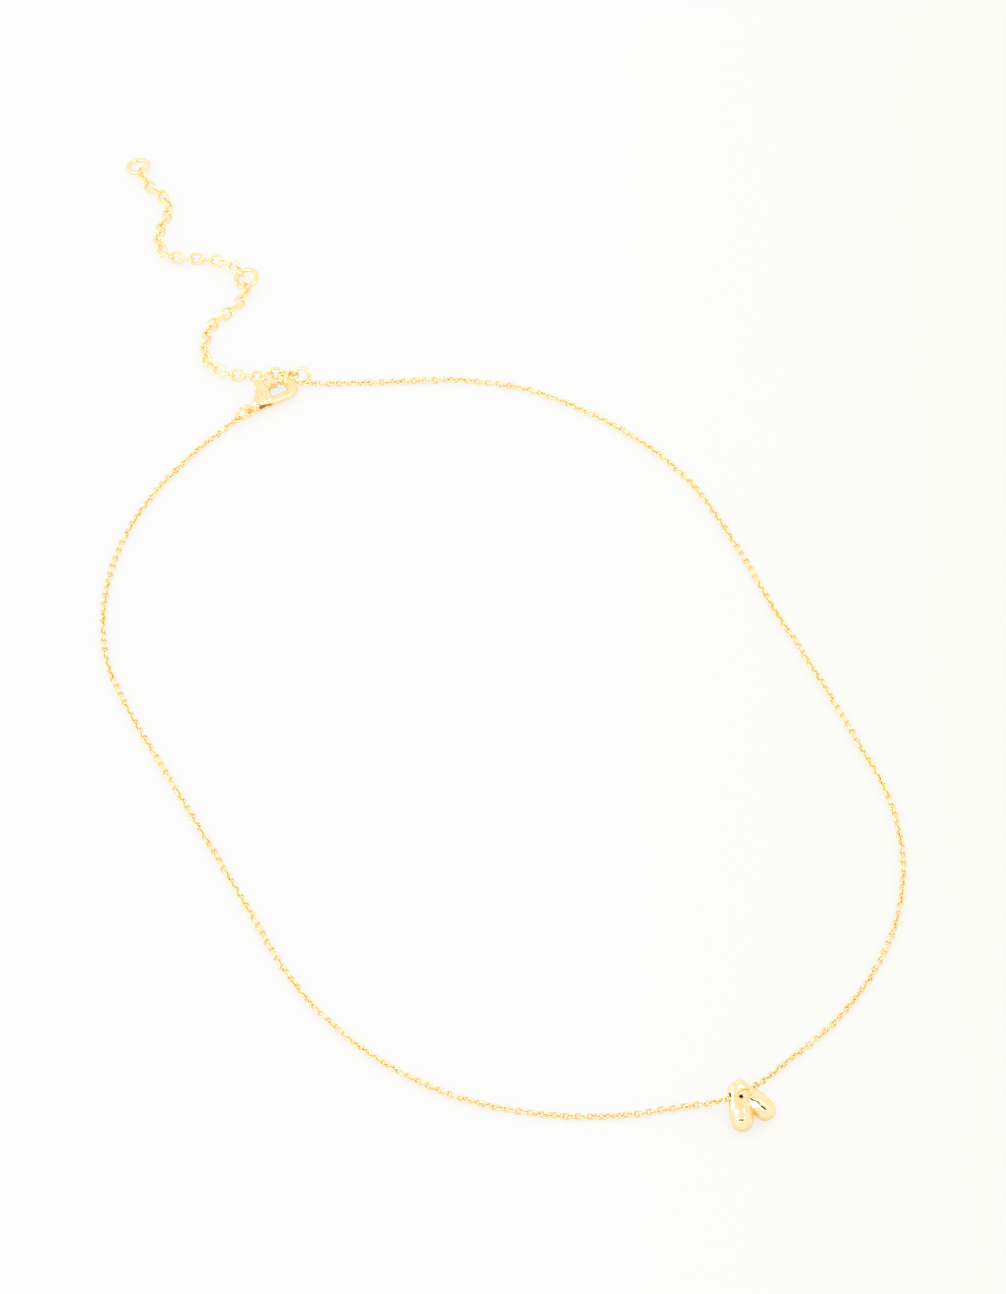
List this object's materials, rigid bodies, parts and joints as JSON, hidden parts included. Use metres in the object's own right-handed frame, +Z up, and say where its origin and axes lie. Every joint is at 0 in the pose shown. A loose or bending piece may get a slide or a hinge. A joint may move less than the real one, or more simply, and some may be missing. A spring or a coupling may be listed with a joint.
{
  "type": "initial pendant necklace",
  "caption": "Fine cable chain with a puffed letter charm, a lobster clasp and an adjustable extender chain, laid flat.",
  "frame": {"origin": "on the table under the middle of the necklace's box", "axes": "+Z up from the table, +Y from the letter to the clasp and the extender, +X to the wearer's left as the letter faces up"},
  "size_m": [0.0983, 0.2133, 0.0042],
  "materials": {
    "gold_chain": "polished gold plate on fine cable chain",
    "gold_letter": "mirror polished gold plate",
    "gold_findings": "polished gold plate on rings, links and clasp"
  },
  "bodies": {
    "necklace": {"chain_left": "gold_chain", "chain_right": "gold_chain", "pendant": "gold_letter", "jump_ring_left": "gold_findings", "jump_ring_right": "gold_findings", "clasp_body": "gold_findings", "extender_near": "gold_findings", "mid_ring": "gold_findings", "extender_far": "gold_findings", "end_ring": "gold_findings"},
    "lever": {"clasp_lever": "gold_findings"}
  },
  "joints": [
    {"name": "lever_pivot", "type": "hinge", "parent": "necklace", "child": "lever", "pos_m": [-0.00081, 0.04975, 0.001], "axis": [0, 0, 1], "range_deg": [-25, 0], "stiffness_Nm_per_rad": 0.001, "springref_deg": 22.92}
  ]
}
